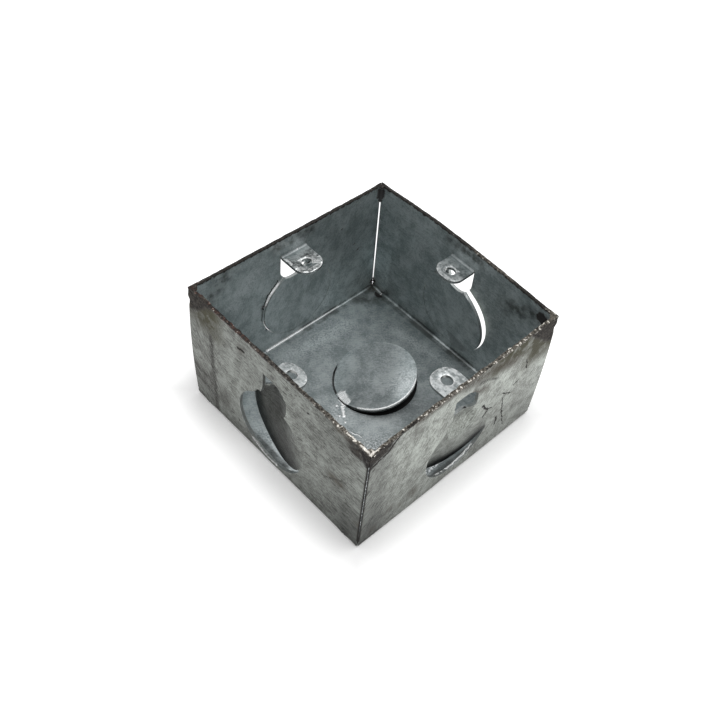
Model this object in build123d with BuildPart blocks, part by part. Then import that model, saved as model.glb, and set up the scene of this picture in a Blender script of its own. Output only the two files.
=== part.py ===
from build123d import *

import os
from dataclasses import dataclass
from math import pi, radians, sin, sqrt

# Square metal back box, folded up from one cross-shaped blank of galvanised sheet.
# The four walls meet in open seams that are tack-welded at the rim. A tongue is cut from
# each wall and folded in as a screw lug, and each wall and the base has a half-sheared
# knockout that has been pushed inwards about the part of its edge that still holds.
# Millimetres, Z up, origin at the middle of the underside, front wall towards -Y.

# Outside of the box
box_width = 75.0
box_depth = 75.0
box_height = 47.0

# Sheet and folds
sheet = 1.0
bend_radius = 0.8  # inside of the folds round the base and of the knockouts
seam_setback = 0.3  # side edge of a wall to the inner face of the next wall

# Relief hole in the blank at the foot of each seam
relief_radius = 1.3
relief_height = 3.0

# Holes punched through the ends of the front and back folds
fold_hole_radius = 2.2
fold_hole_inset = 6.0  # outside corner to the hole's middle
fold_hole_height = 0.4

# Tack weld at the rim of each seam
weld_radius = 1.1
weld_height = 6.5
weld_taper = 5.0

# Screw lugs
lug_hole_inset = 7.35  # outer face of a wall to the hole of its lug
lug_drop = 7.5  # rim to the lug's upper face
lug_width = 9.7
lug_tip = 4.1  # hole's middle to the lug's end
lug_corner = 4.2
lug_bend = 0.8  # inside of a lug's fold
soft_lug_bend = 2.6  # the same on the right lug, which is folded over a rounder edge
full_round = 0.49  # largest corner, as a share of a tongue's width
lug_hole_diameter = 3.5
lance_gap = 0.15  # round the tongue, where it was cut from its wall
neutral_share = 0.44  # neutral fibre of a fold, as a share of the sheet from the inside

# Knockouts
knockout_diameter = 28.0
knockout_rise = 3.2  # underside to the lower edge of a wall's knockout
base_knockout_x = -3.6
base_knockout_y = 7.6
kerf = 0.25
score_width = 0.15  # score that is left where a knockout still holds
score_depth = 0.25
tie_side = 8.0  # from the left knockout's middle to the tie that stretched and held, degrees on the face
tie_width = 6.0
tie_bite = 0.3  # of the tie into the wall and into the disc


@dataclass
class Knockout:
    """One knockout on a face: its middle, where it still holds and how far it is pushed in."""

    across: float  # middle along the face
    up: float  # middle up the face
    held_side: float  # from its middle towards the fold, degrees on the face
    held: float  # depth of the part that still holds, from its edge to the fold
    push: float  # degrees inwards

    @property
    def fold_reach(self):
        """From its middle to the fold."""
        return knockout_radius - self.held

    @property
    def sinking(self):
        """How far its loose edge is pushed in, opposite the fold."""
        return (disc_radius + self.fold_reach) * sin(radians(self.push))


@dataclass
class Wall:
    """One wall: the way it faces in degrees from +X, its distance out, width and features."""

    heading: float
    out: float
    width: float
    lug_bend: float
    knockout: Knockout

    @property
    def outwards(self):
        return Vector(1, 0, 0).rotate(Axis.Z, self.heading)

    @property
    def face(self):
        """Plane on the outer face, X along the wall, Y up and Z outwards."""
        return Plane(self.outwards * self.out, Vector(0, 0, 1).cross(self.outwards), self.outwards)


# Sizes that follow from those above
fold_radius = bend_radius + sheet
side_width = box_depth - 2 * (sheet + seam_setback)
front_width = box_width - 2 * (sheet + seam_setback)
knockout_radius = knockout_diameter / 2
knockout_height = knockout_rise + knockout_radius
disc_radius = knockout_radius - kerf
lug_top = box_height - lug_drop
lug_reach = lug_hole_inset + lug_tip

right_knockout = Knockout(across=0.5, up=knockout_height, held_side=45, held=6, push=10)
back_knockout = Knockout(across=-0.8, up=knockout_height, held_side=325, held=3, push=5.8)
left_knockout = Knockout(across=-2.4, up=knockout_height, held_side=240, held=3, push=2.1)
front_knockout = Knockout(across=-0.9, up=knockout_height, held_side=8, held=2.4, push=12.3)
base_knockout = Knockout(across=base_knockout_x, up=-base_knockout_y, held_side=122, held=1, push=12)

right_wall = Wall(0, box_width / 2, side_width, soft_lug_bend, right_knockout)
back_wall = Wall(90, box_depth / 2, front_width, lug_bend, back_knockout)
left_wall = Wall(180, box_width / 2, side_width, lug_bend, left_knockout)
front_wall = Wall(270, box_depth / 2, front_width, lug_bend, front_knockout)
walls = [right_wall, back_wall, left_wall, front_wall]
underside = Plane(origin=(0, 0, 0), x_dir=(1, 0, 0), z_dir=(0, 0, -1))


@dataclass
class Fold:
    """A bend in the sheet: a plane on its axis, X along it, Y back over the sheet that stays
    and Z towards the outside of the bend, and its inside radius. The turned leaf lies towards -Y."""

    plane: Plane
    radius: float

    def leaf(self, turn=90):
        """Plane on the inner face of the leaf that the fold turns."""
        return Plane(self.plane * Rot(turn, 0, 0)).offset(self.radius)

    def section(self, width):
        """Section of the sheet where the fold starts."""
        with BuildSketch(Plane(self.plane.origin, self.plane.x_dir, -self.plane.y_dir)) as start:
            with Locations((0, self.radius + sheet / 2)):
                Rectangle(width, sheet)
        return start.sketch


def wall_fold(wall):
    """Fold between the base and a wall."""
    axis_middle = wall.outwards * (wall.out - fold_radius) + Vector(0, 0, fold_radius)
    return Fold(Plane(axis_middle, Vector(0, 0, -1).cross(wall.outwards), Vector(0, 0, -1)), bend_radius)


def lug_fold(wall):
    """Fold between a wall and its lug."""
    middle = wall.face * Pos(0, lug_top + wall.lug_bend, -wall.lug_bend - sheet)
    return Fold(Plane(middle), wall.lug_bend)


def knockout_fold(face, knockout):
    """Fold about which a knockout is pushed in."""
    middle = face * Pos(knockout.across, knockout.up, -fold_radius)
    held_edge = middle * Rot(0, 0, knockout.held_side - 90) * Pos(0, knockout.fold_reach, 0)
    return Fold(Plane(held_edge), bend_radius)


def strip(plane, width, length):
    """Straight leaf from a fold at the plane's origin towards -Y."""
    with BuildSketch(plane) as outline:
        Rectangle(width, length, align=(Align.CENTER, Align.MAX))
    return outline.sketch


def tongue(plane, width, length, corner):
    """Strip with a rounded end."""
    with BuildSketch(plane) as outline:
        Rectangle(width, length, align=(Align.CENTER, Align.MAX))
        fillet(outline.vertices().group_by(Axis.Y)[0], min(corner, full_round * width))
    return outline.sketch


def loose_part(plane, knockout, radius):
    """Part of a knockout's circle on the loose side of its fold."""
    with BuildSketch(plane) as outline:
        with Locations((0, -knockout.fold_reach)):
            Circle(radius)
        loose_side = (Align.CENTER, Align.MAX)
        Rectangle(2 * radius, radius + knockout.fold_reach, align=loose_side, mode=Mode.INTERSECT)
    return outline.sketch


def score_ring(plane, knockout):
    """Score round a knockout, in the middle of its kerf."""
    with BuildSketch(plane) as outline:
        with Locations((0, -knockout.fold_reach)):
            Circle(disc_radius + (kerf + score_width) / 2)
            Circle(disc_radius + (kerf - score_width) / 2, mode=Mode.SUBTRACT)
    return outline.sketch


def turn_leaf(fold, width, outline, turn=90):
    """Add the bend of a fold and the flat leaf that it turns."""
    bend_axis = Axis(fold.plane.origin, fold.plane.x_dir)
    revolve(fold.section(width), axis=bend_axis, revolution_arc=turn)
    extrude(outline, amount=sheet)


with BuildPart() as back_box:
    # Base between the folds, then the four walls turned up from it
    with BuildSketch():
        Rectangle(box_width - 2 * fold_radius, box_depth - 2 * fold_radius)
    extrude(amount=sheet)
    for wall in walls:
        fold = wall_fold(wall)
        turn_leaf(fold, wall.width, strip(fold.leaf(), wall.width, box_height - fold_radius))

    # Relief at the foot of each seam, and the holes through the front and back folds
    with BuildSketch():
        with GridLocations(box_width - 2 * sheet, box_depth - 2 * sheet, 2, 2):
            Circle(relief_radius)
    extrude(amount=relief_height, mode=Mode.SUBTRACT)
    for wall in (front_wall, back_wall):
        with BuildSketch(wall.face):
            with Locations((0, fold_hole_height)):
                with GridLocations(box_width - 2 * fold_hole_inset, 0, 2, 1):
                    Circle(fold_hole_radius)
        extrude(amount=-fold_radius, mode=Mode.SUBTRACT)

    # Tack welds that close the top of each seam
    with BuildSketch(Plane.XY.offset(box_height)):
        with GridLocations(box_width - 2 * weld_radius, box_depth - 2 * weld_radius, 2, 2):
            Circle(weld_radius)
    extrude(amount=-weld_height, taper=weld_taper)

    # Knockouts, each scored all round, with its loose part cut free and bent inwards
    for face, knockout in [(wall.face, wall.knockout) for wall in walls] + [(underside, base_knockout)]:
        fold = knockout_fold(face, knockout)
        inner_face = fold.plane.offset(bend_radius)
        outer_face = fold.plane.offset(fold_radius)
        extrude(score_ring(inner_face, knockout), amount=score_depth, mode=Mode.SUBTRACT)
        extrude(loose_part(outer_face, knockout, knockout_radius), amount=-sheet, mode=Mode.SUBTRACT)
        chord = 2 * sqrt(disc_radius**2 - knockout.fold_reach**2)
        disc = loose_part(fold.leaf(knockout.push), knockout, disc_radius)
        turn_leaf(fold, chord, disc, knockout.push)

    # Tie across the left knockout's kerf, drawn out between the wall and the sunk disc
    tie_middle = left_wall.face * Pos(left_knockout.across, left_knockout.up, -sheet / 2)
    with BuildSketch(Plane(tie_middle * Rot(0, 0, tie_side))):
        with Locations((disc_radius + kerf / 2, 0)):
            Rectangle(kerf + 2 * tie_bite, tie_width)
    extrude(amount=-left_knockout.sinking)

    # Screw lugs, each folded in out of the window that its tongue leaves in the wall
    for wall in walls:
        fold = lug_fold(wall)
        lug_straight = lug_reach - wall.lug_bend - sheet
        tongue_bend = pi / 2 * (wall.lug_bend + neutral_share * sheet)
        window_width = lug_width + 2 * lance_gap
        window_length = tongue_bend + lug_straight + lance_gap
        wall_face = fold.plane.offset(wall.lug_bend + sheet)
        window = tongue(wall_face, window_width, window_length, lug_corner + lance_gap)
        extrude(window, amount=-lug_reach, mode=Mode.SUBTRACT)
        turn_leaf(fold, lug_width, tongue(fold.leaf(), lug_width, lug_straight, lug_corner))
        with Locations(wall.outwards * (wall.out - lug_hole_inset) + Vector(0, 0, lug_top)):
            Hole(lug_hole_diameter / 2, depth=sheet)

back_box.part.label = "back_box"
os.makedirs("parts", exist_ok=True)
export_step(back_box.part, "parts/back_box.step")
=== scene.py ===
from dataclasses import dataclass
from math import cos, radians, sin, tan

import bmesh
import bpy
import numpy as np
from mathutils import Matrix, Vector, noise
from mathutils.bvhtree import BVHTree


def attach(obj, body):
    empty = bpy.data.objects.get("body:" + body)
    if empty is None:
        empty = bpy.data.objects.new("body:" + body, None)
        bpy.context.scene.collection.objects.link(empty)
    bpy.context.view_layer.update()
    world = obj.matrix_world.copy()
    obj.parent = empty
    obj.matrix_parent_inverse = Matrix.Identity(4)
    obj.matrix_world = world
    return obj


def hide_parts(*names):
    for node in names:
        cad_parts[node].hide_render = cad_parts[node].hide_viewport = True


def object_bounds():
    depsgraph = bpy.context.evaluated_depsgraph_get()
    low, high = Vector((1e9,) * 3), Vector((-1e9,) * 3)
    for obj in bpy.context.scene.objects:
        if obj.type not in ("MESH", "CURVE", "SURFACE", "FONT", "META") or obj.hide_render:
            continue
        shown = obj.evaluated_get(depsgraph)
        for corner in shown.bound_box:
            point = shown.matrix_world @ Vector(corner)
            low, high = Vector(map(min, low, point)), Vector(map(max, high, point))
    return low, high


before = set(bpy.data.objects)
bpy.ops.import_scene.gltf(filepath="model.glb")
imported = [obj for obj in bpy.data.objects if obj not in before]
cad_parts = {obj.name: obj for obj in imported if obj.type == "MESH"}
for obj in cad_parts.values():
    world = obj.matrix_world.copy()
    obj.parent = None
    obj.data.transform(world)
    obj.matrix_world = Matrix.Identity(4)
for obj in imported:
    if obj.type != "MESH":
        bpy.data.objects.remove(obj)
cad_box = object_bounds()

# Looks of a folded back box of worn galvanised sheet. The sheet is the CAD node's own mesh, cut
# into small cells, bent a little out of square as the photographed box is, and painted by zones.
# Sizes are in millimetres on the box, with the front wall towards -Y; Blender gets metres.
MM = 0.001
half_x, half_y, rim_height = (value / MM for value in cad_box[1])
sheet = 1.0

# Cells of the mesh: coarse on the flats, fine at the rim and the corners
cell = 1.2
fine_cell = 0.5
rim_band = 3.5
corner_band = 5.0
merge_gap = 0.02
flat_angle = radians(0.5)  # facets of the solid that meet at less are joined before they are cut
sharp_angle = radians(32)  # cells that meet at more are shaded apart
probe_start = 0.02  # under a face, to look for the sheet's other side
probe_reach = 1.6 * sheet


@dataclass
class Corner:
    """A corner post: its signs in X and Y, its lean at three heights and the lump of its weld."""

    side_x: int
    side_y: int
    top: tuple
    waist: tuple
    foot: tuple
    weld: float


left_corner = Corner(-1, -1, top=(-0.6, 0.1), waist=(-0.75, -0.8), foot=(0.6, -0.8), weld=0.2)
far_corner = Corner(-1, 1, top=(0.5, 0.1), waist=(0.45, 0.5), foot=(0.4, 0.9), weld=0.2)
right_corner = Corner(1, 1, top=(-0.2, -0.5), waist=(0.1, 0.4), foot=(-0.4, 0.3), weld=0.2)
near_corner = Corner(1, -1, top=(0.4, 0.3), waist=(0.1, 0.1), foot=(-0.1, -0.1), weld=0.3)
corners = [left_corner, far_corner, right_corner, near_corner]


@dataclass
class Wall:
    """A wall of the box: the axis and side it stands on, and the lug that is folded in from it."""

    axis: int
    side: int
    lug_shift: float  # of the lug along the wall
    lug_depth: float  # outer face to the lug's hole

    def places(self, rest):
        """Places along the wall and in from its outer face."""
        half = (half_x, half_y)[self.axis]
        return rest[:, 1 - self.axis], half - self.side * rest[:, self.axis]


front_wall = Wall(1, -1, lug_shift=0.8, lug_depth=6.1)
right_wall = Wall(0, 1, lug_shift=0.3, lug_depth=8.0)
back_wall = Wall(1, 1, lug_shift=0.2, lug_depth=6.6)
left_wall = Wall(0, -1, lug_shift=0.6, lug_depth=7.4)
walls = [front_wall, right_wall, back_wall, left_wall]

# Features of the square model that are moved or painted
lug_hole_inset = 7.35
lug_half = 6.0  # half of the strip that holds a lug
lug_end = 13.0  # outer face of a wall to past the end of its lug
fold_radius = 1.8
relief_top = 3.0
fold_hole = half_x - 6.0
fold_hole_height = 0.4
fold_hole_radius = 2.2
knockout_height = 17.2
front_knockout = -0.9
right_knockout = 0.5
back_knockout = 0.8
left_knockout = 2.4
base_knockout = (-3.6, 7.6)
disc_radius = 13.75
base_tie = radians(-122)  # from the base knockout's middle to the edge that still holds
base_fold_reach = 13.0
base_push = radians(12)
base_bend = 0.17  # run of the fold itself
base_top = 9.0  # over the base knockout and under the windows
edge_slack = 0.1  # past the edge of a disc, to take in all its vertices

# How far the photographed box is bent from the square one
back_bow = 1.55  # middle of the back rim
back_bow_skew = 0.45  # share that the bow gains towards the far corner
right_foot_bow = 0.15
seam_closing = 1.1  # end of a wall towards its corner post
near_seam_closing = 0.12  # more at the near corner
foot_closing = 0.6  # more at the foot
fold_push = 0.3
hole_closing = 0.85  # share of a fold hole's radius
kerf_closing = 1.4
closed_kerfs = [(back_wall, back_knockout, 100, 170), (left_wall, left_knockout, 25, 75)]  # turns in degrees
window_lift = 0.9
front_knockout_drop = 1.25
right_knockout_shrink = 0.08  # share of its radius
right_dent_depth = 3.0
front_dent_depth = 2.4
front_disc_tongue = 6.0  # top of the front disc, drawn up in its middle
front_disc_rise = 1.2  # its foot
base_disc_lift = 0.9
base_disc_fall = 0.03  # of the lift, for each millimetre up the slope
base_disc_lip = 0.25
weld_reach = 3.0
rim_waves = 0.18
rim_teeth = 0.3
rim_burr = 0.3
far_rim_share = 0.35  # of the tears on the left and back rims


def ramp(low, high, value):
    """0 below low, 1 above high, and a smooth rise between them."""
    share = np.clip((value - low) / (high - low), 0, 1)
    return share * share * (3 - 2 * share)


def spot(u, v, middle_u, middle_v, size_u, size_v):
    """Soft round patch on a face."""
    return np.exp(-(((u - middle_u) / size_u) ** 2 + ((v - middle_v) / size_v) ** 2))


def patch(u, v, u_range, v_range, soft):
    """Soft-edged rectangle on a face."""
    inside = ramp(u_range[0] - soft, u_range[0] + soft, u)
    inside = inside * (1 - ramp(u_range[1] - soft, u_range[1] + soft, u))
    inside = inside * ramp(v_range[0] - soft, v_range[0] + soft, v)
    return inside * (1 - ramp(v_range[1] - soft, v_range[1] + soft, v))


def noise_field(points, scale, seed):
    """Smooth noise from -1 to 1 at each point, with features about 1 / scale millimetres across."""
    shift = Vector((seed * 17.3, seed * 5.1, seed * 9.7))
    return np.array([noise.noise(Vector(point) * scale + shift) for point in points])


# Mesh


def cut_along(cells, faces, axis, places):
    """Cut faces along planes across one axis, halving the stack of planes each time."""
    if not places or not faces:
        return
    middle = len(places) // 2
    normal = Vector([float(index == axis) for index in range(3)])
    edges = {edge for face in faces for edge in face.edges}
    verts = {vert for edge in edges for vert in edge.verts}
    cut = bmesh.ops.bisect_plane(
        cells, geom=[*verts, *edges, *faces], plane_co=normal * places[middle] * MM, plane_no=normal,
        dist=merge_gap * MM,
    )
    parts = [part for part in cut["geom"] if isinstance(part, bmesh.types.BMFace)]
    above = [part.calc_center_median()[axis] > places[middle] * MM for part in parts]
    cut_along(cells, [part for part, up in zip(parts, above) if not up], axis, places[:middle])
    cut_along(cells, [part for part, up in zip(parts, above) if up], axis, places[middle + 1:])


def planes_between(low, high, step):
    """Evenly spaced planes from low to high, about a step apart."""
    return list(np.linspace(low, high, max(2, round((high - low) / step) + 1)))


def cell_mesh(node):
    """The node's surface as small cells."""
    cells = bmesh.new()
    cells.from_mesh(node.data)
    bmesh.ops.remove_doubles(cells, verts=cells.verts, dist=merge_gap * MM / 10)
    bmesh.ops.dissolve_limit(cells, angle_limit=flat_angle, verts=cells.verts, edges=cells.edges)
    for axis, half in enumerate((half_x, half_y)):
        inner = half - corner_band
        places = planes_between(-half, -inner, fine_cell)[1:-1] + planes_between(-inner, inner, cell)
        places += planes_between(inner, half, fine_cell)[1:-1]
        cut_along(cells, cells.faces[:], axis, places)
    rim_foot = rim_height - rim_band
    places = planes_between(0, rim_foot, cell)[1:] + planes_between(rim_foot, rim_height, fine_cell)[1:-1]
    cut_along(cells, cells.faces[:], 2, places)
    bmesh.ops.remove_doubles(cells, verts=cells.verts, dist=merge_gap * MM)
    bmesh.ops.triangulate(cells, faces=cells.faces, ngon_method="BEAUTY")
    return cells


def wall_direction(x, y):
    """Unit vectors from the middle towards the nearest wall."""
    across = abs(x) / half_x > abs(y) / half_y
    return np.where(across, np.sign(x), 0), np.where(across, 0, np.sign(y))


def face_kinds(cells):
    """Per face: whether it is a cut edge of the sheet, and whether it looks into the box."""
    tree = BVHTree.FromBMesh(cells)
    cut_edge = np.zeros(len(cells.faces))
    inner = np.zeros(len(cells.faces))
    for index, face in enumerate(cells.faces):
        middle = face.calc_center_median()
        normal = face.normal
        start = middle - normal * probe_start * MM
        hit = tree.ray_cast(start, -normal, probe_reach * MM)
        cut_edge[index] = hit[0] is None
        wall_x, wall_y = wall_direction(middle.x / MM, middle.y / MM)
        inner[index] = normal.z - normal.x * wall_x - normal.y * wall_y > 0
    return cut_edge, inner


# Shape: each bend adds to the moves of the vertices


def height_share(rest):
    """Share of the way from the underside up to the rim."""
    return np.clip(rest[:, 2] / rim_height, 0, 1)


def lean(rest, move):
    """Out-of-square corner posts, shared out over the box."""
    x, y = rest[:, 0], rest[:, 1]
    up = height_share(rest)
    shares = (up * (2 * up - 1), 4 * up * (1 - up), (1 - up) * (1 - 2 * up))
    for corner in corners:
        near = (0.5 + corner.side_x * x / (2 * half_x)) * (0.5 + corner.side_y * y / (2 * half_y))
        for axis in range(2):
            for share, place in zip(shares, (corner.top, corner.waist, corner.foot)):
                move[:, axis] += near * share * place[axis]


def bows(rest, move):
    """Back rim and foot of the right wall, which bow out between their corners."""
    x, y = rest[:, 0], rest[:, 1]
    up = height_share(rest)
    arch = (1 - (x / half_x) ** 2) * (1 - back_bow_skew * x / half_x)
    move[:, 1] += back_bow * ramp(18, 24, y) * arch * up
    move[:, 0] += right_foot_bow * ramp(26, 33, x) * (1 - (y / half_y) ** 2) * (1 - up)


def closed_corners(rest, move):
    """Ends of the walls drawn out to the corner posts, which leaves only a fine seam."""
    foot = 1 - ramp(relief_top - 0.3, relief_top + 0.3, rest[:, 2])
    near = (rest[:, 0] > 0) & (rest[:, 1] < 0)
    closing = seam_closing + near_seam_closing * near + foot_closing * foot
    for wall in walls:
        along, depth = wall.places(rest)
        outerness = np.clip(sheet - depth, 0, sheet) / sheet
        outerness = np.maximum(outerness, 0.7 * foot * (depth < 2.2))
        end = ramp(34.9 - foot, 36.0 - 0.8 * foot, abs(along)) * (abs(along) < 36.4)
        move[:, 1 - wall.axis] += np.sign(along) * end * outerness * closing


def sharp_folds(rest, move):
    """Outside of the folds round the base, pressed sharper."""
    for wall in walls:
        depth = wall.places(rest)[1]
        out, down = fold_radius - depth, fold_radius - rest[:, 2]
        on_fold = (out > 0) & (down > 0)
        distance = np.hypot(out, down) + 1e-6
        push = fold_push * on_fold * ramp(1.2, fold_radius, distance) * 2 * out * down / distance**2
        move[:, wall.axis] += wall.side * push * out / distance
        move[:, 2] -= push * down / distance


def shut_fold_holes(rest, move):
    """Holes in the ends of the front and back folds, pressed almost shut."""
    x, y, z = rest.T
    for side in (-1, 1):
        from_x, from_z = x - side * fold_hole, z - fold_hole_height
        on_hole = (np.hypot(from_x, from_z) < fold_hole_radius + 0.2) & (abs(y) > half_y - 2.5)
        move[:, 0] -= hole_closing * on_hole * from_x
        move[:, 2] -= hole_closing * on_hole * from_z


def shut_kerfs(rest, move):
    """Upper edges of the left and back knockouts that still lie close in their holes."""
    for wall, middle, low, high in closed_kerfs:
        along, depth = wall.places(rest)
        from_along, from_z = along - middle, rest[:, 2] - knockout_height
        from_middle = np.hypot(from_along, from_z)
        turn = np.degrees(np.arctan2(from_z, from_along))
        close = ramp(low, low + 12, turn) * (1 - ramp(high - 12, high, turn)) * (depth < 7)
        push = kerf_closing * close * ramp(9, 13.5, from_middle) * (from_middle < disc_radius + 0.08)
        move[:, 1 - wall.axis] += push * from_along / (from_middle + 0.01)
        move[:, 2] += push * from_z / (from_middle + 0.01)


def moved_lugs(rest, move):
    """Lugs as far along and in from their walls as they were folded."""
    z = rest[:, 2]
    for wall in walls:
        along, depth = wall.places(rest)
        on_lug = (abs(along) < lug_half) & (depth > sheet) & (depth < lug_end) & (z > 37) & (z < 44)
        stretch = (wall.lug_depth - sheet) / (lug_hole_inset - sheet)
        move[:, wall.axis] -= wall.side * on_lug * (depth - sheet) * (stretch - 1)
        near = (1 - ramp(lug_half, 11, abs(along))) * (depth < lug_end)
        near = near * ramp(24, 32, z) * (1 - ramp(43, 46, z))
        move[:, 1 - wall.axis] += wall.lug_shift * near


def short_windows(rest, move):
    """Windows of the left and back walls, a little shorter at the foot."""
    z = rest[:, 2]
    for wall in (left_wall, back_wall):
        along, depth = wall.places(rest)
        near = np.exp(-((along / 5.0) ** 4)) * (depth < 3)
        move[:, 2] += window_lift * near * ramp(23, 27, z) * (1 - ramp(30, 36, z))


def moved_knockouts(rest, move):
    """Front knockout lower in its wall, and the right one smaller."""
    x, y, z = rest.T
    from_middle = np.hypot(x - front_knockout, z - knockout_height)
    move[:, 2] -= front_knockout_drop * (1 - ramp(14.2, 17.0, from_middle)) * ramp(26, 30, -y)
    from_middle = np.hypot(y - right_knockout, z - knockout_height)
    shrink = right_knockout_shrink * (1 - ramp(14.2, 18.0, from_middle)) * ramp(26, 30, x)
    move[:, 1] -= shrink * (y - right_knockout)
    move[:, 2] -= shrink * (z - knockout_height)


def right_dent(rest, move):
    """Lower edge of the right window, knocked in with the top of the disc below it."""
    x, y, z = rest.T
    deep = ramp(19, 29.5, z) * (1 - ramp(30.5, 33.5, z)) * np.exp(-((y / 5.5) ** 4))
    move[:, 0] -= right_dent_depth * deep * ramp(30, 34, x)


def rounded_windows(rest, move):
    """Upper corner of the right window and of the front one, drawn in round."""
    x, y, z = rest.T
    right_top = spot(y, z, 5, 41.5, 2.6, 2.6) * ramp(34, 35, x)
    move[:, 1] -= 1.8 * right_top
    front_top = spot(x, z, 5, 40, 2.8, 2.8) * ramp(34, 35, -y)
    move[:, 0] -= 1.8 * front_top
    move[:, 2] -= 1.6 * right_top + 1.9 * front_top


def front_dent(rest, move):
    """Front disc, knocked in and drawn up in its middle, with the tip of the wall beside it bent up."""
    x, y, z = rest.T
    from_middle = np.hypot(x - front_knockout, z - knockout_height)
    on_disc = (from_middle < disc_radius + edge_slack) * ramp(28, 31, -y)
    deep = ramp(17, 28, z) * np.exp(-(((x + 1.5) / 7.0) ** 4))
    move[:, 1] += front_dent_depth * deep * on_disc
    tongue = np.exp(-(((x + 1) / 4.5) ** 2)) * ramp(22, 28, z)
    move[:, 2] += front_disc_tongue * tongue * on_disc
    move[:, 2] += front_disc_rise * on_disc * (1 - ramp(4, 14, z))
    tip = spot(x, z, -4.9, 29.7, 2.5, 2.5) * (on_disc == 0) * ramp(34, 35, -y)
    move[:, 0] -= 1.6 * tip
    move[:, 2] += 2.2 * tip


def disc_places(rest):
    """Distance from the base knockout's middle, and up its slope from the fold."""
    from_x, from_y = rest[:, 0] - base_knockout[0], rest[:, 1] - base_knockout[1]
    slope = base_fold_reach - cos(base_tie) * from_x - sin(base_tie) * from_y
    return np.hypot(from_x, from_y), slope


def drawn_disc(rest, move):
    """Base knockout drawn up at its tie as well, with its sheared edge sloping outwards."""
    from_middle, slope = disc_places(rest)
    on_disc = (from_middle < disc_radius + edge_slack) & (rest[:, 2] < base_top)
    move[:, 2] += on_disc * ramp(-0.4, 7.0, slope) * (base_disc_lift - base_disc_fall * slope)
    underside = rest[:, 2] < slope * tan(base_push) + sheet / 2
    near_side = ramp(2, 10, rest[:, 0] - rest[:, 1] + 11)
    lip = base_disc_lip * on_disc * underside * ramp(12.3, 12.9, from_middle) * near_side
    for axis in range(2):
        move[:, axis] += lip * (rest[:, axis] - base_knockout[axis]) / (from_middle + 0.01)


def welds(rest, move):
    """Lumps of the tack welds on the outside of the corners, each over a notch."""
    x, y, z = rest.T
    for corner in corners:
        near = spot(x, y, corner.side_x * half_x, corner.side_y * half_y, weld_reach, weld_reach)
        swell = near * ramp(42.5, 44, z) * corner.weld
        notch = near * ramp(40, 41.5, z) * (1 - ramp(42.2, 43.4, z)) * corner.weld
        chosen = near > 0.01
        rough = np.zeros(len(rest))
        rough[chosen] = 0.5 * noise_field(rest[chosen], 0.7, 4)
        for axis, side in ((0, corner.side_x), (1, corner.side_y)):
            move[:, axis] += side * (swell - 0.8 * notch + swell * rough)
        move[:, 2] += 0.4 * swell * (0.5 + rough)


def ragged_rim(rest, move):
    """Torn and burred rim."""
    x, y, z = rest.T
    near_rim = ramp(rim_height - 1.6, rim_height - 0.2, z)
    chosen = near_rim > 0
    waves = noise_field(rest[chosen], 0.35, 1)
    teeth = noise_field(rest[chosen], 1.1, 2)
    burr = noise_field(rest[chosen], 0.9, 3)
    wall_x, wall_y = wall_direction(x[chosen], y[chosen])
    torn = near_rim[chosen] * np.where((wall_x > 0) | (wall_y < 0), 1.0, far_rim_share)
    move[chosen, 2] += torn * (rim_waves * waves + rim_teeth * teeth)
    move[chosen, 0] += torn * rim_burr * burr * wall_x
    move[chosen, 1] += torn * rim_burr * burr * wall_y


def shaped(rest):
    """Vertices of the photographed box from those of the square one."""
    bends = (lean, bows, closed_corners, sharp_folds, shut_fold_holes, shut_kerfs)
    bends += (moved_lugs, short_windows, moved_knockouts, right_dent, rounded_windows, front_dent)
    bends += (drawn_disc, welds, ragged_rim)
    move = np.zeros_like(rest)
    for bend in bends:
        bend(rest, move)
    return rest + move


# Marks on the sheet


@dataclass
class Mark:
    """A mark on the sheet: a rounded stroke between two places on the square model."""

    start: tuple
    end: tuple
    width: float
    soft: float = 0.6


def on_front(*places):
    """Places on the outside of the front wall, and likewise below for the other faces."""
    return [(x, -half_y, z) for x, z in places]


def on_right(*places):
    return [(half_x, y, z) for y, z in places]


def in_left(*places):
    return [(sheet - half_x, y, z) for y, z in places]


def in_back(*places):
    return [(x, half_y - sheet, z) for x, z in places]


def on_base(*places):
    return [(x, y, sheet) for x, y in places]


def on_disc_rim(turn):
    """Place on the upper edge of the base knockout, at a turn in degrees from +X."""
    around = radians(turn) - base_tie
    up_slope = base_fold_reach - disc_radius * cos(around)
    tie = Vector((cos(base_tie), sin(base_tie)))
    beside = Vector((-tie.y, tie.x))
    from_middle = base_fold_reach - base_bend - up_slope * cos(base_push)
    x, y = Vector(base_knockout) + tie * from_middle + beside * disc_radius * sin(around)
    return (x, y, sheet + up_slope * sin(base_push))


def line(places, width, soft=0.6):
    """Marks that follow a line of places."""
    return [Mark(start, end, width, soft) for start, end in zip(places, places[1:])]


def dot(places, width, soft=0.8):
    """Round marks."""
    return [Mark(place, place, width, soft) for place in places]


def smear(places, width):
    """Marks that fade from their middle, along a line or round one place."""
    return line(places, width, 1.0) or dot(places, width, 1.0)


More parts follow.
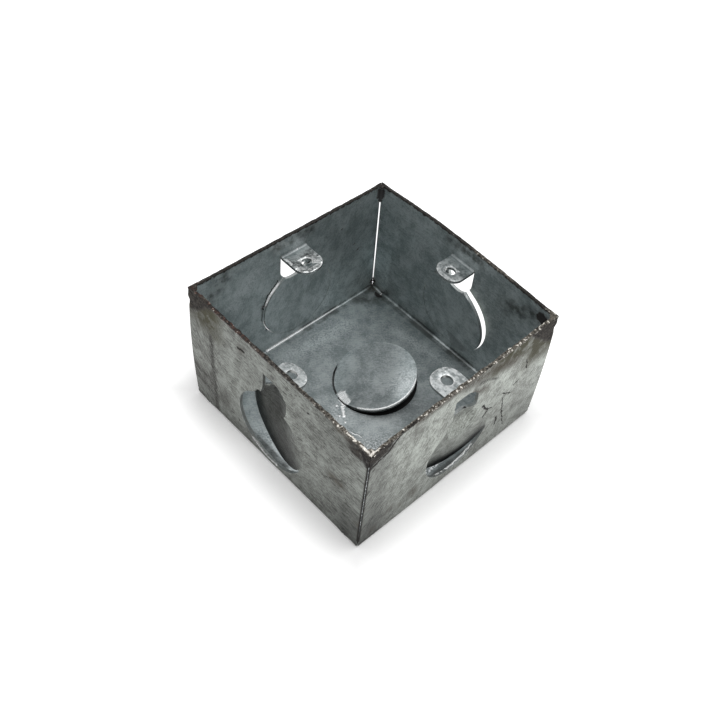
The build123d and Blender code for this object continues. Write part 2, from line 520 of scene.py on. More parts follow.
near_post = half_x - 0.6
gap_shadow_marks = [
    # Painted shadow in the open seam of the near corner
    *line([(near_post, -near_post, 0.5), (near_post, -near_post, 41)], 1.4, 0.2),
    # Pit in the weld of the near corner
    *line([(37.2, -37.2, 41.8), (37.2, -37.2, 42.6)], 2.3, 0.35),
    # Painted shadow in the shut relief and fold hole of the far corner
    *line([(-36.4, 36.4, 0), (-36.4, 36.4, 2.6)], 1.9, 0.3),
    *line([(-fold_hole, 35.6, 1), (-fold_hole, 36.6, 1)], 2.1, 0.2),
    # Painted shadow beside the loose left edge of the base knockout
    *line([on_disc_rim(turn) for turn in range(206, 252, 9)], 0.4, 0.6),
]
stain_marks = [
    *line(on_front((-27.4, 35), (-26.8, 18), (-27.2, 1)), 1.3, 0.8),
    *line(on_front((-36, 10), (-29, 8)), 1.2, 0.9),
    *line(on_front((-35, 14), (-27, 14.5)), 1.0, 0.9),
    *line(on_front((-36.8, 30), (-36.8, 2)), 0.9, 0.9),
    *line(on_front((22, 20), (30, 26)), 0.7, 0.9),
    *line(on_right((6, 43), (13, 38)), 0.9, 0.9),
]
black_marks = [
    # Crack round the weld of the near corner
    *line(on_right((-20, 47.2), (-27.5, 46.2), (-30.5, 42.9), (-36, 40.6)), 0.55),
    *line(on_front((36.2, 40.8), (34.5, 46.5)), 0.5),
    # Burnt pits inside the far and right corners
    *line([(-36.2, 36.2, 41.4), (-36.2, 36.2, 42.6)], 0.9, 0.3),
    *line([(-36.2, 36.2, 43), (-36.2, 36.2, 45)], 1.6, 0.3),
    *line([(35.3, 36.3, 41), (32.7, 36.3, 42.6)], 2.2, 0.2),
    # Gouges in the right wall
    *line(on_right((9.5, 29), (12.8, 24.7), (11.2, 22.1)), 0.55),
    *line(on_right((14.6, 24), (12.8, 24.7)), 0.45),
    *line(on_right((18, 14.9), (18.2, 10.8)), 0.5),
    *line(on_right((18.5, 24.1), (19.8, 17.1), (23.2, 6.5)), 0.34),
    *line(on_right((17.5, 26.9), (22.4, 23.6)), 0.34),
    *line(on_right((22.7, 27.1), (24.8, 27.8)), 0.45),
    *line(on_right((26.2, 36), (27.4, 31.2)), 0.34),
    # Painted shadow along the lower edge of the right window
    *line(on_right((-3.6, 30.6), (0, 29.6), (3.8, 30.8)), 0.55, 0.7),
    # Painted shadow in the kerfs of the left and back knockouts beside their lugs
    *line(in_left((-6.2, 29.9), (-9.2, 26.3), (-11.6, 21.5)), 0.45),
    *line(in_left((6.2, 30.8), (9.6, 29.2)), 0.4),
    *line(in_back((-4.9, 30), (-8, 28), (-10.8, 25)), 0.6),
    # Specks
    *dot(on_front((14.4, 40.9)), 0.8),
    *dot(on_front((-15.9, 7.1)), 0.5),
    *line(on_front((-15, 41), (-12.4, 41.5)), 0.6),
    *dot(in_left((20.3, 37.3)), 0.8),
    *dot(in_left((26.4, 27.3)), 0.7),
    *dot(in_left((27.8, 23.8), (-10.1, 11.2)), 0.9),
]
bright_marks = [
    # Painted highlight along the left fold
    *line([(-36.3, -11, 1.2), (-36.3, 4, 1.2)], 0.8, 0.9),
    *line([(-36.3, 4, 1.2), (-36.3, 20, 1.2)], 0.5, 0.9),
    # Painted highlight on the sheared edge of the base knockout, and the ties of the left one
    *line([on_disc_rim(turn) for turn in range(-66, 36, 10)], 0.5, 0.35),
    *dot([(-36.7, -11.3, 22.2), (-36.7, -11.3, 16.4)], 0.9),
    *line(in_left((-5.5, 29), (-8.4, 26), (-10.4, 22.6)), 0.55, 0.5),
]
rubbed_and_highlight_marks = [
    # Painted highlights on the lower edges of the front and right holes
    *line([(-9.6, -37.4, 5.9), (-4.5, -37.4, 3.5), (1.5, -37.4, 3.2)], 0.45, 0.4),
    *line([(36.6, -6, 4.8), (36.6, 0.5, 3.2), (36.6, 6, 4.4), (36.6, 10, 6.9)], 0.5, 0.4),
    # Painted highlights on the rim at the near corner and on the fold of the left lug
    *line([(28, -36.9, 47), (31.5, -36.9, 47)], 0.35, 0.6),
    *line([(33.5, -36.9, 47), (36.7, -36.9, 47), (36.9, -34, 47)], 0.4, 0.6),
    *line([(-35.4, -4.6, 39.8), (-34.2, -4.3, 39.6), (-32.5, -4.4, 39.5)], 0.6, 0.7),
    *line([(-35.9, -3.4, 40.2), (-35.9, -1.6, 40.3)], 0.5, 0.7),
    *line([(-35.9, 0.8, 40.2), (-35.9, 2.4, 40.3)], 0.5, 0.7),
    # Stretched tie of the base knockout, bright metal with a painted highlight, and the scratches beside it
    *line([(-6.4, -4.6, 2), (-3.4, -5.6, 2)], 2.0, 0.35),
    *line(on_base((-2.6, -7.2), (0.4, -9.2)), 0.7, 0.6),
    *dot(on_base((-4.4, -8.3)), 0.7),
    *dot(on_base((-0.6, -10.4), (2.4, -10.6)), 0.6),
    *line(on_base((3, -12.5), (6, -15)), 0.5, 0.8),
    *line(on_base((6, -12), (10, -10.6)), 0.3, 0.9),
    *line(on_base((9, -16), (12, -13)), 0.3, 0.9),
]
brown_marks = [
    *smear(on_front((25, 23.2), (28.6, 23)), 2.6),
    *smear(on_front((36.2, 12)), 2.2),
    *smear(on_front((-14, 41)), 2.4),
    *smear(on_front((24, 46), (36, 45)), 2.0),
    *smear(on_right((-16.8, 9.4), (-16, 7.4)), 2.8),
    *smear(on_right((-21.5, 6.5)), 2.2),
    *smear(on_right((-25.8, 9.1)), 2.0),
    *smear(on_right((-31.9, 4.8)), 2.4),
    *smear(on_right((-2, 45.8), (10, 44.5), (20, 40)), 3.4),
    *smear(on_right((4, 41), (9, 36)), 2.6),
    *smear(on_right((-20, 46), (6, 46.5)), 2.0),
    *smear([(35.5, 36, 41)], 5.0),
    *smear([(-35.5, 35.5, 2)], 4.0),
]
pale_marks = [
    # Wiped and scratched places inside, and a painted lit patch on the base by the front wall
    *smear(in_left((-22, 30), (-13, 40)), 5.0),
    *smear(in_left((0, 41), (9, 46)), 3.2),
    *smear(in_back((-24, 20), (-16, 34)), 4.0),
    *smear(on_base((-30, -8), (-28, 16)), 5.0),
    *smear(on_base((-16, 28), (8, 31)), 3.0),
    *smear(on_base((-4, -9), (10, -18)), 3.5),
    # Painted light on the base just inside the front wall
    *smear(on_base((-10, -34.5), (6, -35)), 3.0),
]
smudges = [
    # Soot and dirt inside, above the lugs and towards the corners
    *smear(in_left((-6, 44.5), (7, 44.5)), 3.6),
    *smear(in_back((-6, 44.5), (6, 44.5)), 3.6),
    *smear(in_left((-33, 36), (-26, 44)), 5.0),
    *smear(in_back((20, 36), (32, 42)), 6.0),
    *smear(on_base((-30, 34), (-34, 28)), 5.0),
]


def mark_mask(rest, marks):
    """Soft marks as a mask over the vertices."""
    mask = np.zeros(len(rest))
    for mark in marks:
        start, span = np.array(mark.start), np.array(mark.end) - np.array(mark.start)
        share = np.clip((rest - start) @ span / max(span @ span, 1e-9), 0, 1)
        distance = np.linalg.norm(rest - start - share[:, None] * span, axis=1)
        mask = np.maximum(mask, 1 - ramp(mark.width * (1 - mark.soft), mark.width, distance))
    return mask


# Zones that the material paints
shade_range = 2.0  # the shade that is stored as 1
edge_gain = 3.0  # of the share of cut faces round a vertex
side_grain = radians(62)  # streaks of the side walls, up from level


class Surface:
    """The vertices of the square model, and how far each lies on a part of the box."""

    def __init__(self, rest, inner):
        self.rest = rest
        self.x, self.y, self.z = rest.T
        self.inner = inner
        self.outer = 1 - inner
        self.front = self.outer * ramp(-half_y + 12, -half_y + 6, self.y)
        self.right = self.outer * ramp(half_x - 12, half_x - 6, self.x)
        within = (abs(self.x) < half_x - 1.5) * (abs(self.y) < half_y - 1.5)
        self.base = inner * (self.z < base_top) * within
        self.from_middle = disc_places(rest)[0]
        self.disc = self.base * (self.from_middle < disc_radius)


def front_shade(at):
    """Front: painted shade, darker all over and towards the foot, with a dark pushed-in disc."""
    from_middle = np.hypot(at.x - front_knockout, at.z - knockout_height)
    shade = 0.24 + 0.14 * (1 - ramp(0, 20, at.z)) + 0.12 * ramp(8, 34, at.x)
    shade += 0.1 * ramp(20, 40, at.z)
    towards_tie = 0.75 * at.x + 0.55 * (at.z - knockout_height) - 1
    shade += (from_middle < disc_radius) * (0.57 - 0.48 * ramp(1, 13, towards_tie))
    return -at.front * shade


def right_shade(at):
    """Right: painted light and shade, lighter in its upper half, darker along the loose edge of its disc and
    in its window.
    """
    from_y, from_z = at.y - right_knockout, at.z - knockout_height
    from_middle = np.hypot(from_y, from_z)
    shade = 0.34 * ramp(8, 34, at.z) - 0.13 - 0.1 * ramp(-10, -30, at.y)
    loose = ramp(0.1, 0.9, (0.4 * from_y - from_z) / (from_middle + 0.1))
    shade -= (from_middle < disc_radius) * (0.16 + 0.85 * loose * ramp(5, 13.4, from_middle))
    shade -= 0.35 * ramp(26, 29, at.z) * (1 - ramp(32, 33, at.z)) * (abs(at.y) < 5)
    return at.right * shade


def base_shade(at):
    """Base: painted light and shade, darker, but lighter on its knockout and at the front."""
    x, y = at.x, at.y
    from_x, from_y = x - base_knockout[0], y - base_knockout[1]
    rightwards, nearwards = 0.73 * from_x + 0.68 * from_y, 0.68 * from_x - 0.73 * from_y
    shade = at.base * (0.02 * ramp(-10, 30, x - y) - 0.18 + 0.8 * spot(x, y, -2, -36, 10, 6))
    shade += at.disc * (0.6 * ramp(4, 12, rightwards) + 0.4 * ramp(-5, -12, rightwards) - 0.1)
    shade -= 0.12 * at.disc * ramp(2, 10, nearwards) * ramp(9, 4, rightwards)
    flat = 0.05 + 0.25 * ramp(14, 32, x - y) + 0.3 * spot(x, y, 17, 11, 9, 9)
    return shade - at.base * (1 - at.disc) * flat


def inside_shade(at):
    """Inside of the walls: darker to the left, lighter at the far foot and dark at the folds of the lugs."""
    shade = 0.19 - 0.16 * ramp(14, -20, at.y) * ramp(-20, -30, at.x)
    shade += 0.4 * patch(at.y, at.z, (12, 45), (-5, 22), 8.0) * (at.x < -30)
    shade = at.inner * (1 - at.base) * shade
    for wall in walls:
        along, depth = wall.places(at.rest)
        lug_fold = (abs(along) < lug_half) * patch(depth, at.z, (0.9, 2.2), (39.3, 41.2), 0.4)
        shade -= 0.5 * at.inner * lug_fold
    return shade


def scorch_zone(at):
    """Sheet burnt by the welds of the left, near and right corners."""
    x, y, z = at.x, at.y, at.z
    scorch = at.front * ramp(0, 8, z - 33 - 0.9 * (x + half_x))
    scorch += 0.6 * at.front * ramp(0, 1.5, x - 34.2 - 0.55 * (46.5 - z))
    near_weld = ramp(0, 2.5, z - 40.2 - 0.62 * (y + 37)) * (y < -22)
    scorch += at.right * near_weld * (0.25 + 0.35 * ramp(-28, -33, y))
    return scorch + at.right * ramp(0, 5, z - 46 + y - 24)


def tint_zone(at):
    """Olive tint that the heat left under the front and right rims."""
    tint = at.front * patch(at.x, at.z, (-36, -23), (35, 50), 3.5)
    tint += at.right * patch(at.y, at.z, (9, 45), (40, 50), 2.5)
    return tint + at.right * patch(at.y, at.z, (25, 45), (32, 42), 4.0)


def grime_and_foot_zone(at):
    """Dirt at the left end of the front, and a darker band along the foot all round."""
    x, z = at.x, at.z
    grime_and_foot = 0.9 * patch(x, z, (-28.3, -26), (-5, 35), 1.0) + 0.4 * patch(x, z, (-40, -27), (-5, 40), 1.5)
    grime_and_foot += 0.6 * patch(x, z, (-40, -20), (8, 17), 3.0)
    # Darker band along the foot of every outer wall
    return at.front * grime_and_foot + 0.9 * at.outer * (1 - ramp(0.3, 1.8, z))


def rim_zones(at):
    """Rust and bright flecks on the rim."""
    front_rim = ramp(-half_y + 5, -half_y + 3, at.y)
    right_rim = ramp(half_x - 5, half_x - 3, at.x)
    rust = front_rim * ramp(2, -14, at.x) + 0.1 * (1 - np.maximum(front_rim, right_rim))
    sparkle = np.maximum(front_rim * (0.3 + 0.6 * ramp(4, 34, at.x)), 0.75 * right_rim)
    back_flecks = 0.5 * ramp(30, 34, at.y) * patch(at.x, at.z, (2, 20), (45, 50), 2.0)
    return rust, np.maximum(sparkle, back_flecks)


def lug_zones(at):
    """Lugs of the two side walls, and those of the front and back walls."""
    from_x, from_y = abs(at.x), abs(at.y)
    on_lug = (at.z > 37.5) & (at.z < 43.8) & (np.minimum(from_x, from_y) < lug_half)
    lug_x = on_lug * ramp(half_x - 1.2, half_x - 3.6, from_x) * (from_x > half_x - lug_end)
    lug_y = on_lug * ramp(half_y - 1.2, half_y - 3.6, from_y) * (from_y > half_y - lug_end)
    return lug_x, lug_y


def zones(rest, inner, edge):
    """Per vertex masks that the material paints by."""
    at = Surface(rest, inner)
    x, y, z = at.x, at.y, at.z
    rust, sparkle = rim_zones(at)
    lug_x, lug_y = lug_zones(at)
    shade = 1 + front_shade(at) + right_shade(at) + base_shade(at) + inside_shade(at) - 0.3 * lug_y
    polish = np.maximum(lug_x, lug_y) * (1 - 0.4 * (y > 20) - 0.3 * (x > 20) - 0.5 * (y < -20))
    scrape = at.base * (1 - at.disc) * ramp(14, 36, x - y) * (np.maximum(x, -y) < 33)
    scrape += at.disc * spot(x, y, 6.5, 13, 3.5, 4.5)
    wear = at.front + 0.5 * at.right + 0.4 * at.outer * (1 - at.front) * (1 - at.right) + 0.15 * at.inner
    base_end = np.maximum(ramp(34, 34.6, abs(x)), ramp(34, 34.6, abs(y)))
    masks = {
        "shade": shade / shade_range,
        "wear": wear,
        "edge": edge,
        "fold": at.inner * (z < 2.3) * base_end,
        "disc_edge": (abs(at.from_middle - disc_radius) < 1) * (z < base_top),
        "polish": polish,
        "scrape": scrape,
        "scorch": scorch_zone(at),
        "tint": tint_zone(at),
        "grime_and_foot": grime_and_foot_zone(at),
        "rust": rust,
        "sparkle": sparkle,
        "brown": mark_mask(rest, brown_marks),
        "pale": mark_mask(rest, pale_marks),
        "smudge": mark_mask(rest, smudges),
    }
    return {name: np.clip(mask, 0, 1) for name, mask in masks.items()}


def turned(u, v, cosine, sine):
    """Places on a face along and across a direction."""
    return cosine * u + sine * v, cosine * v - sine * u


def grain_places(rest):
    """Per vertex places along and across the streaks of the sheet."""
    x, y, z = rest.T
    wall_x, wall_y = wall_direction(x, y)
    base = (z < base_top - 1) & (abs(x) < half_x - 2) & (abs(y) < half_y - 2)
    side = wall_x != 0
    along_side, across_side = turned(y, z, cos(side_grain), sin(side_grain))
    hatched = ~side & (x < -22) & (y < 0)
    along_hatch, across_hatch = turned(x, z, 0.65, -0.76)
    along = np.where(side, along_side, np.where(hatched, along_hatch, x))
    across = np.where(side, across_side, np.where(hatched, across_hatch, z))
    apart = 40 * wall_x + 80 * wall_y + 160 * base
    return np.stack([np.where(base, x + y, along), np.where(base, x - y, across), apart], axis=1)


def new_object(name, data):
    """A linked object that holds a mesh, a lamp or a camera."""
    thing = bpy.data.objects.new(name, data)
    bpy.context.scene.collection.objects.link(thing)
    return thing


def set_attribute(mesh, name, values, domain, kind="FLOAT"):
    """Store one value per vertex or face for the material to read."""
    layer = mesh.attributes.new(name, kind, domain)
    field = "vector" if kind == "FLOAT_VECTOR" else "value"
    layer.data.foreach_set(field, np.asarray(values, dtype=np.float32).ravel())


def sheet_piece(node):
    """The folded sheet, as photographed."""
    cells = cell_mesh(node)
    cells.normal_update()
    cells.verts.ensure_lookup_table()
    cut_edge, inner = face_kinds(cells)
    vert_inner, vert_edge, faces_round = np.zeros((3, len(cells.verts)))
    for face in cells.faces:
        for vert in face.verts:
            vert_inner[vert.index] += inner[face.index]
            vert_edge[vert.index] += cut_edge[face.index]
            faces_round[vert.index] += 1
    vert_inner /= faces_round
    vert_edge /= faces_round
    for edge in cells.edges:
        edge.smooth = edge.calc_face_angle(0) < sharp_angle
    for face in cells.faces:
        face.smooth = True
    mesh = bpy.data.meshes.new("folded_sheet")
    cells.to_mesh(mesh)
    cells.free()
    rest = np.empty(len(mesh.vertices) * 3)
    mesh.vertices.foreach_get("co", rest)
    rest = rest.reshape(-1, 3) / MM
    set_attribute(mesh, "rest", rest, "POINT", "FLOAT_VECTOR")
    set_attribute(mesh, "grain", grain_places(rest), "POINT", "FLOAT_VECTOR")
    set_attribute(mesh, "cut_edge", cut_edge, "FACE")
    set_attribute(mesh, "inner", inner, "FACE")
    for name, mask in zones(rest, vert_inner, edge_gain * vert_edge).items():
        set_attribute(mesh, name, mask, "POINT")
    mesh.vertices.foreach_set("co", (shaped(rest) * MM).ravel())
    mesh.update()
    return new_object("folded_sheet", mesh)


# Material


class Nodes:
    """Short calls for building a node tree."""

    def __init__(self, tree):
        self.tree = tree

    def add(self, kind, inputs=None, **settings):
        node = self.tree.nodes.new("ShaderNode" + kind)
        for name, value in settings.items():
            setattr(node, name, value)
        for key, value in (inputs or {}).items():
            self.feed(node.inputs[key], value)
        return node

    def feed(self, socket, value):
        if isinstance(value, bpy.types.NodeSocket):
            self.tree.links.new(value, socket)
        else:
            socket.default_value = value

    def attribute(self, name, output="Fac"):
        return self.add("Attribute", attribute_name=name).outputs[output]

    def math(self, operation, first, second=0.0, clamp=False):
        node = self.add("Math", {0: first, 1: second}, operation=operation, use_clamp=clamp)
        return node.outputs[0]

    def times(self, first, second):
        return self.math("MULTIPLY", first, second)

    def larger(self, first, second):
        return self.math("MAXIMUM", first, second)

    def total(self, *terms):
        """Sum of values, each times its weight."""
        result = 0.0
        for weight, value in terms:
            inputs = {0: value, 1: weight, 2: result}
            result = self.add("Math", inputs, operation="MULTIPLY_ADD").outputs[0]
        return result

    def vector(self, operation, first, second=(0, 0, 0)):
        return self.add("VectorMath", {0: first, 1: second}, operation=operation).outputs[0]

    def scaled(self, vector, factor):
        return self.add("VectorMath", {0: vector, "Scale": factor}, operation="SCALE").outputs[0]

    def stroke(self, place, mark):
        """1 on a mark's stroke and 0 away from it."""
        start, end = Vector(mark.start), Vector(mark.end)
        length = (end - start).length
        offset = self.vector("SUBTRACT", place, start)
        if length > 0:
            unit = (end - start) / length
            along = self.add("VectorMath", {0: offset, 1: unit}, operation="DOT_PRODUCT")
            along = along.outputs["Value"]
            along = self.math("MINIMUM", self.math("MAXIMUM", along, 0.0), length)
            offset = self.vector("SUBTRACT", offset, self.scaled(unit, along))
        distance = self.add("VectorMath", {0: offset}, operation="LENGTH").outputs["Value"]
        return self.remap(distance, mark.width * (1 - mark.soft), mark.width, 1.0, 0.0)

    def strokes(self, place, marks):
        """1 on any of the marks' strokes."""
        mask = self.stroke(place, marks[0])
        for mark in marks[1:]:
            mask = self.larger(mask, self.stroke(place, mark))
        return mask

    def noise(self, vector, scale=1.0, detail=4.0, roughness=0.55):
        inputs = {"Vector": vector, "Scale": scale, "Detail": detail, "Roughness": roughness}
        return self.add("TexNoise", inputs).outputs["Fac"]

    def remap(self, value, low, high, to_low=0.0, to_high=1.0):
        inputs = {"Value": value, "From Min": low, "From Max": high, "To Min": to_low, "To Max": to_high}
        return self.add("MapRange", inputs, interpolation_type="SMOOTHSTEP").outputs[0]

    def mix(self, share, first, second):
        node = self.add("Mix", data_type="RGBA")
        for socket, value in zip((node.inputs[0], node.inputs[6], node.inputs[7]), (share, first, second)):
            self.feed(socket, value if not isinstance(value, tuple) else (*value, 1))
        return node.outputs[2]

    def seen(self):
        """1 for rays that show the background to the camera, straight or in a reflection."""
        path = self.add("LightPath").outputs
        seen = self.larger(path["Is Camera Ray"], path["Is Glossy Ray"])
        return self.larger(seen, path["Is Transmission Ray"])

    def blend(self, share, first, second):
        node = self.add("Mix", {0: share, 2: first, 3: second}, data_type="FLOAT")
        return node.outputs[0]


# Colours of the sheet
dark_outside, light_outside = (0.13, 0.134, 0.122), (0.385, 0.41, 0.38)
dark_inside, light_inside = (0.25, 0.285, 0.29), (0.5, 0.54, 0.545)
streak_colour = (0.065, 0.064, 0.056)
grit_colour = (0.07, 0.068, 0.06)
pale_colour = (0.6, 0.63, 0.64)
scraped_colour = (0.72, 0.75, 0.76)
smudge_colour = (0.1, 0.105, 0.1)
dark_lug, light_lug = (0.12, 0.13, 0.13), (0.56, 0.58, 0.58)
edge_highlight_colour = (0.9, 0.91, 0.91)
cut_colour = (0.4, 0.41, 0.4)
sheared_colour = (0.1, 0.103, 0.1)
fold_colour = (0.09, 0.095, 0.092)
tint_colour = (0.05, 0.047, 0.024)
brown_colour = (0.06, 0.05, 0.036)
grime_and_foot_colour = (0.045, 0.043, 0.037)
stain_colour = (0.03, 0.029, 0.025)
bright_colour = (0.96, 0.97, 0.97)
dark_rim, light_rim = (0.05, 0.048, 0.045), (0.17, 0.155, 0.13)
rust_colour = (0.09, 0.05, 0.04)
rim_pit_colour = (0.025, 0.023, 0.021)
spark_colour = (0.78, 0.75, 0.69)
burnt_colour, scorched_colour = (0.008, 0.007, 0.006), (0.06, 0.053, 0.046)
black_colour = (0.018, 0.016, 0.015)


class SheetPaint(Nodes):
    """Worn galvanised sheet, painted in layers from the bare sheet to the burns and pits."""

    def __init__(self, tree):
        super().__init__(tree)
        self.rest = self.attribute("rest", "Vector")
        self.inner = self.attribute("inner")
        self.cut_edge = self.attribute("cut_edge")
        self.polish = self.attribute("polish")
        wobble = self.add("TexNoise", {"Vector": self.rest, "Scale": 0.8, "Detail": 3.0})
        wobble = self.vector("SUBTRACT", wobble.outputs["Color"], (0.5, 0.5, 0.5))
        self.place = self.vector("ADD", self.rest, self.scaled(wobble, 1.4))
        grain = self.vector("MULTIPLY", self.attribute("grain", "Vector"), (0.3, 2.3, 1))
        self.streak = self.noise(grain, detail=3, roughness=0.65)
        self.mottle = self.noise(self.rest, scale=0.13, detail=6, roughness=0.6)
        self.blotch = self.noise(self.rest, scale=0.3, detail=4, roughness=0.6)
        self.dapple = self.noise(self.rest, scale=0.7, detail=4, roughness=0.65)
        self.speck = self.noise(self.rest, scale=1.8, detail=4, roughness=0.75)

    def zone(self, name, texture, low, high, to_low=0.0, to_high=1.0):
        """A painted zone, broken up by a noise."""
        return self.times(self.attribute(name), self.remap(texture, low, high, to_low, to_high))

    def cover(self, share, colour):
        """Paint a colour over what is there."""
        self.colour = self.mix(share, self.colour, colour)

    def bare_sheet(self):
        """Sheet, streaked outside and smoother inside."""
        tone = self.total((0.2, self.mottle), (0.2, self.blotch), (0.35, self.speck), (0.25, self.streak))
        self.colour = self.mix(self.remap(tone, 0.4, 0.6), dark_outside, light_outside)
        worn = self.zone("wear", self.blotch, 0.58, 0.44, 0.1, 0.8)
        self.cover(self.times(self.remap(self.streak, 0.44, 0.39), worn), streak_colour)
        grit = self.noise(self.rest, scale=3.2, detail=2, roughness=0.6)
        grit = self.times(self.remap(grit, 0.6, 0.68), self.remap(self.blotch, 0.56, 0.46, 0.15, 0.75))
        self.cover(grit, grit_colour)
        tone = self.total((0.3, self.mottle), (0.25, self.blotch), (0.3, self.speck), (0.15, self.streak))
        self.cover(self.inner, self.mix(self.remap(tone, 0.4, 0.6), dark_inside, light_inside))
        # Painted light and shade: the shade zones scale the colour
        self.colour = self.scaled(self.colour, self.times(self.attribute("shade"), shade_range))

    def pale_and_smudged_places(self):
        """Wiped, scraped and smudged places, and a painted lit patch on the base by the front wall."""
        self.cover(self.zone("pale", self.speck, 0.4, 0.62, 0.1, 0.6), pale_colour)
        self.cover(self.zone("scrape", self.speck, 0.48, 0.58), scraped_colour)
        self.cover(self.zone("smudge", self.blotch, 0.36, 0.6, 0.9, 0.3), smudge_colour)

    def rubbed_and_highlit_places(self):
        """Rubbed lugs, a painted highlight along the lugs' edges, cut edges and worn folds."""
        self.cover(self.polish, self.mix(self.remap(self.dapple, 0.38, 0.62), dark_lug, light_lug))
        # Painted highlight along the cut edges of the lugs
        lug_edge_highlight = self.times(self.math("POWER", self.attribute("edge"), 2.0), self.inner)
        lug_edge_highlight = self.times(lug_edge_highlight, self.remap(self.speck, 0.4, 0.56, 0.2, 0.9))
        self.cover(self.times(lug_edge_highlight, self.polish), edge_highlight_colour)
        self.cover(self.times(self.cut_edge, 0.6), cut_colour)
        sheared = self.times(self.attribute("disc_edge"), self.cut_edge)
        self.cover(self.times(sheared, 0.9), sheared_colour)
        self.cover(self.zone("fold", self.mottle, 0.42, 0.58, 0.75, 0.1), fold_colour)

    def stains(self):
        """Heat tint, brown spots, grime, a darker foot and dark stains."""
        tint = self.zone("tint", self.blotch, 0.36, 0.52, 0.45, 1)
        brown = self.zone("brown", self.speck, 0.36, 0.58, 0.15, 1)
        grime_and_foot = self.zone("grime_and_foot", self.streak, 0.62, 0.4, 0.25, 1)
        broken = self.remap(self.speck, 0.4, 0.6, 0.95, 0.3)
        stain = self.times(self.strokes(self.place, stain_marks), broken)
        self.cover(tint, tint_colour)
        self.cover(brown, brown_colour)
        self.cover(grime_and_foot, grime_and_foot_colour)
        self.cover(stain, stain_colour)
        self.dirt = self.larger(self.larger(grime_and_foot, brown), self.larger(stain, tint))

    def bright_places(self):
        """Painted highlights on folds, edges and hole rims, and ties and scratches rubbed to bright metal.
        """
        self.glint = self.strokes(self.rest, bright_marks)
        self.rub_and_highlight = self.strokes(self.place, rubbed_and_highlight_marks)
        broken = self.remap(self.speck, 0.34, 0.5, 0.5, 1)
        self.bright = self.times(self.larger(self.glint, self.rub_and_highlight), broken)
        self.cover(self.bright, bright_colour)

    def torn_rim(self):
        """Rim, torn, rusty and flecked with bright metal, with painted highlights at the near corner."""
        height_up = self.add("SeparateXYZ", {0: self.rest}).outputs["Z"]
        rim_grain = self.noise(self.rest, scale=0.8, detail=2, roughness=0.6)
        self.rim_spark = self.noise(self.rest, scale=1.3, detail=3, roughness=0.6)
        rim_place = self.math("ADD", height_up, self.times(rim_grain, 1.6))
        self.rim = self.remap(rim_place, rim_height - 0.1, rim_height + 0.5)
        sparkle = self.attribute("sparkle")
        spark_level = self.total((1.0, self.rim_spark), (0.15, sparkle))
        self.spark = self.larger(self.remap(spark_level, 0.68, 0.76), self.rub_and_highlight)
        colour = self.mix(sparkle, dark_rim, light_rim)
        colour = self.mix(self.zone("rust", rim_grain, 0.4, 0.6), colour, rust_colour)
        colour = self.mix(self.remap(spark_level, 0.46, 0.64), rim_pit_colour, colour)
        self.cover(self.rim, self.mix(self.spark, colour, spark_colour))

    def burns(self):
        """Scorched welds, cracks, pits, and painted shadow in seams, kerfs, shut holes and by the base
        knockout.
        """
        scorch = self.total((1.0, self.attribute("scorch")), (0.9, self.speck), (0.9, self.dapple))
        bare = self.math("SUBTRACT", 1.0, self.times(self.rim, self.spark))
        self.scorch = self.times(self.remap(scorch, 1.1, 1.6), bare)
        self.cover(self.scorch, self.mix(self.remap(self.speck, 0.4, 0.6), burnt_colour, scorched_colour))
        self.black = self.larger(self.strokes(self.place, black_marks), self.strokes(self.rest, gap_shadow_marks))
        self.cover(self.times(self.black, 0.93), black_colour)

    def dullness(self):
        """How far rust, dirt and soot hide the metal."""
        dull_rim = self.times(self.rim, self.math("SUBTRACT", 0.8, self.spark, clamp=True))
        dull = self.larger(self.larger(dull_rim, self.black), self.times(self.dirt, 0.7))
        return self.larger(dull, self.times(self.scorch, 0.9))

    def relief(self):
        """Fine relief of the grain, torn rim, pits, lugs' edges, and rubbed and painted highlight marks."""
        height = self.total(
            (1.0, self.streak), (0.6, self.speck), (4.0, self.times(self.rim, self.rim_spark)),
            (-5.0, self.times(self.attribute("edge"), self.polish)),
            (-1.5, self.black), (-5.0, self.glint), (1.5, self.rub_and_highlight),
        )
        bump = self.add("Bump", {"Strength": 0.4, "Distance": 0.0002, "Height": height})
        return bump.outputs["Normal"]

    def coat(self, shader):
        """Paint all the layers and feed them to the shader."""
        layers = (self.bare_sheet, self.pale_and_smudged_places, self.rubbed_and_highlit_places, self.stains)
        layers += (self.bright_places, self.torn_rim, self.burns)
        for layer in layers:
            layer()
        dull = self.dullness()
        rough = self.remap(self.streak, 0.3, 0.7, 0.52, 0.42)
        rough = self.blend(self.larger(self.bright, self.polish), rough, 0.27)
        self.feed(shader.inputs["Base Color"], self.colour)
        plain = self.larger(dull, self.times(self.bright, 0.45))
        self.feed(shader.inputs["Metallic"], self.math("SUBTRACT", 1.0, plain))
        self.feed(shader.inputs["Roughness"], self.larger(rough, self.times(dull, 0.75)))
        self.feed(shader.inputs["Specular IOR Level"], 0.1)
        self.feed(shader.inputs["Normal"], self.relief())


def galvanised_material():
    """Worn galvanised sheet."""
    material = bpy.data.materials.new("galvanised_sheet")
    material.use_nodes = True
    SheetPaint(material.node_tree).coat(material.node_tree.nodes["Principled BSDF"])
    return material


# Stage, light and camera, in metres
floor_reach = 3.0
# Floor colour, with a painted shadow under the box and white clear of it
floor_levels = (0.02, 0.95)  # under the box, and clear of it
floor_edge_glow = 0.12  # at the edge of the box
floor_far_glow = 0.38  # added away from it
lamp_aim = Vector((0, 0, 0.02))


def white_world(ambient):
    """White all round for the camera and for reflections, a plain level for the rest."""
    world = bpy.data.worlds.new("white")
    bpy.context.scene.world = world
    world.use_nodes = True
    make = Nodes(world.node_tree)
    seen = make.seen()
    background = world.node_tree.nodes["Background"]
    background.inputs["Color"].default_value = (1, 1, 1, 1)
    make.feed(background.inputs["Strength"], make.blend(seen, ambient, 1.0))


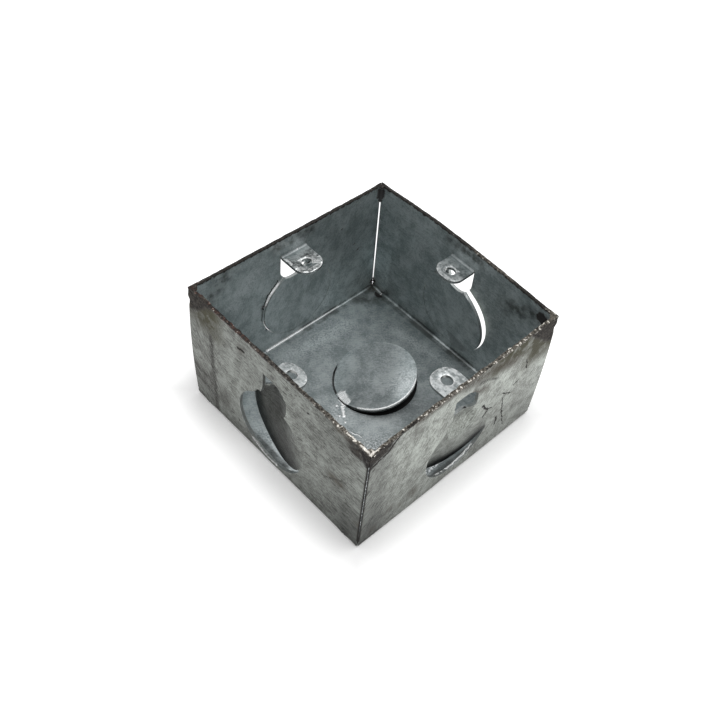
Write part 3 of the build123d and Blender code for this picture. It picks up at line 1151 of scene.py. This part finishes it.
def floor():
    """Pale floor, white away from the box and painted in deep shadow under it."""
    mesh = bpy.data.meshes.new("floor")
    ends = [(-floor_reach, -floor_reach, 0), (floor_reach, -floor_reach, 0)]
    ends += [(floor_reach, floor_reach, 0), (-floor_reach, floor_reach, 0)]
    mesh.from_pydata(ends, [], [(0, 1, 2, 3)])
    plane = new_object("floor", mesh)
    material = bpy.data.materials.new("floor_white")
    material.use_nodes = True
    shader = material.node_tree.nodes["Principled BSDF"]
    make = Nodes(material.node_tree)
    place = make.add("TexCoord").outputs["Object"]
    place = make.add("SeparateXYZ", {0: make.vector("ABSOLUTE", place)}).outputs
    from_middle = make.larger(place["X"], place["Y"])
    under_box, clear_of_box = (half_x - 1.5) * MM, half_x * MM
    # Painted shadow: the floor's colour falls to near black under the box
    level = make.remap(from_middle, under_box, clear_of_box, *floor_levels)
    make.feed(shader.inputs["Base Color"], make.mix(level, (0, 0, 0), (1, 1, 1)))
    edge_glow = make.remap(from_middle, under_box, clear_of_box, 0.0, floor_edge_glow)
    far_glow = make.remap(from_middle, clear_of_box, 1.4 * clear_of_box, 0.0, floor_far_glow)
    glow = make.times(make.seen(), make.math("ADD", edge_glow, far_glow))
    shader.inputs["Emission Color"].default_value = (1, 1, 1, 1)
    make.feed(shader.inputs["Emission Strength"], glow)
    shader.inputs["Roughness"].default_value = 1.0
    shader.inputs["Specular IOR Level"].default_value = 0.0
    mesh.materials.append(material)


def soft_lamp(name, place, size, power):
    """Square area lamp that points at the box."""
    lamp = new_object(name, bpy.data.lights.new(name, "AREA"))
    lamp.data.size = size
    lamp.data.energy = power
    lamp.location = place
    lamp.rotation_euler = (lamp_aim - Vector(place)).to_track_quat("-Z", "Y").to_euler()


def photo_camera():
    """Camera at the photograph's viewing angle."""
    azimuth, elevation, roll = radians(42.94), radians(50.12), radians(5.71)
    aim = Vector((0, 0, 0.025))
    distance = 0.28758
    shift_right, shift_up = -0.00297, -0.00248
    level = Vector((cos(azimuth), sin(azimuth), 0))
    ahead = Vector((-sin(azimuth), cos(azimuth), 0))
    back = sin(elevation) * Vector((0, 0, 1)) - cos(elevation) * ahead
    rise = back.cross(level)
    right = cos(roll) * level + sin(roll) * rise
    up = cos(roll) * rise - sin(roll) * level
    camera = new_object("camera", bpy.data.cameras.new("camera"))
    camera.data.sensor_width = 36
    camera.data.lens = 47.423
    camera.matrix_world = Matrix((right, up, back)).transposed().to_4x4()
    camera.matrix_world.translation = aim + right * shift_right + up * shift_up + back * distance
    bpy.context.scene.camera = camera


box = sheet_piece(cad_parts["back_box"])
box.data.materials.append(galvanised_material())
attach(box, "root")
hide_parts("back_box")

floor()
white_world(ambient=0.72)
soft_lamp("overhead", (0.2, 0.15, 0.9), 0.6, 2.4)
photo_camera()
bpy.context.scene.view_settings.view_transform = "Standard"
